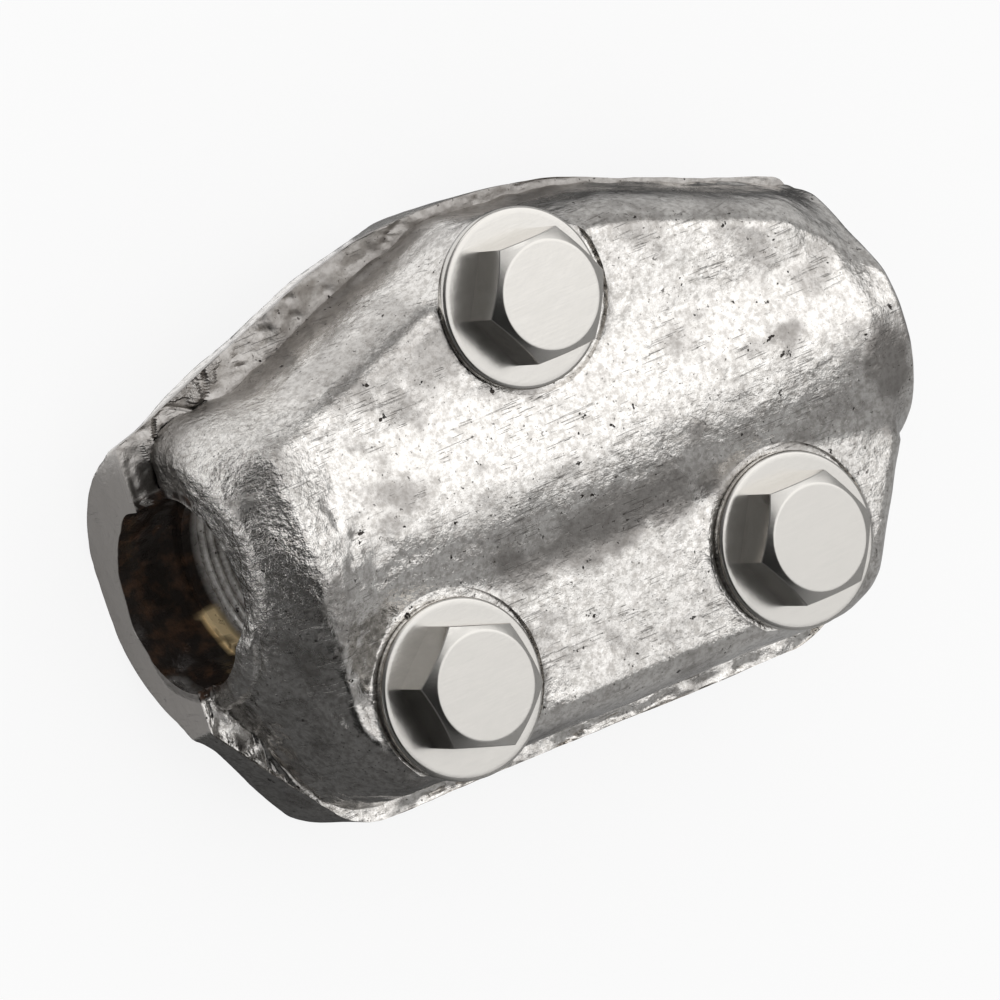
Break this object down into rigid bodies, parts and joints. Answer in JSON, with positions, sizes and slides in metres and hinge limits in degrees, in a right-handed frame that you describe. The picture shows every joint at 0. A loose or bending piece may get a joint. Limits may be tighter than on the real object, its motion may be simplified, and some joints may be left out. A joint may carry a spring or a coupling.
{
  "type": "bonding connector",
  "caption": "Two-part cast clamp that bolts together round a conductor bore, with hexagon bolts and flat washers through a ridged cover.",
  "frame": {"origin": "on the flat back of the base casting, under the middle of the conductor bore", "axes": "+X along the conductor bore towards the end without the set-back cover, +Y towards the lone bolt, +Z along the bolts, heads uppermost"},
  "size_m": [0.0983, 0.0678, 0.0393],
  "materials": {
    "tinned_bronze": "cast bronze dipped in tin: bright, uneven, pitted and scratched",
    "stainless_steel": "satin stainless steel, turned head faces"
  },
  "bodies": {
    "base": {"base_casting": "tinned_bronze"},
    "cover": {"cover_casting": "tinned_bronze"},
    "washer_1_body": {"washer_1": "stainless_steel"},
    "washer_2_body": {"washer_2": "stainless_steel"},
    "washer_3_body": {"washer_3": "stainless_steel"},
    "bolt_1_body": {"bolt_1": "stainless_steel"},
    "bolt_2_body": {"bolt_2": "stainless_steel"},
    "bolt_3_body": {"bolt_3": "stainless_steel"}
  },
  "joints": [
    {"name": "cover_lift", "type": "slide", "parent": "base", "child": "cover", "axis": [0, 0, 1], "range_m": [0, 0.012]},
    {"name": "bolt_1_travel", "type": "slide", "parent": "cover", "child": "washer_1_body", "axis": [0, 0, 1], "range_m": [0, 0.01429]},
    {"name": "bolt_1_turn", "type": "hinge", "parent": "washer_1_body", "child": "bolt_1_body", "pos_m": [0, 0.0198, 0.0335], "axis": [0, 0, 1], "range_deg": [0, 3241]},
    {"name": "bolt_2_travel", "type": "slide", "parent": "cover", "child": "washer_2_body", "axis": [0, 0, 1], "range_m": [0, 0.01429]},
    {"name": "bolt_2_turn", "type": "hinge", "parent": "washer_2_body", "child": "bolt_2_body", "pos_m": [0.02455, -0.0198, 0.0335], "axis": [0, 0, 1], "range_deg": [0, 3241]},
    {"name": "bolt_3_travel", "type": "slide", "parent": "cover", "child": "washer_3_body", "axis": [0, 0, 1], "range_m": [0, 0.01429]},
    {"name": "bolt_3_turn", "type": "hinge", "parent": "washer_3_body", "child": "bolt_3_body", "pos_m": [-0.02455, -0.0198, 0.0335], "axis": [0, 0, 1], "range_deg": [0, 3241]}
  ],
  "couplings": [
    {"joint": "bolt_1_turn", "follows": "bolt_1_travel", "rad_per_m": 3957.9},
    {"joint": "bolt_2_turn", "follows": "bolt_2_travel", "rad_per_m": 3957.9},
    {"joint": "bolt_3_turn", "follows": "bolt_3_travel", "rad_per_m": 3957.9}
  ]
}
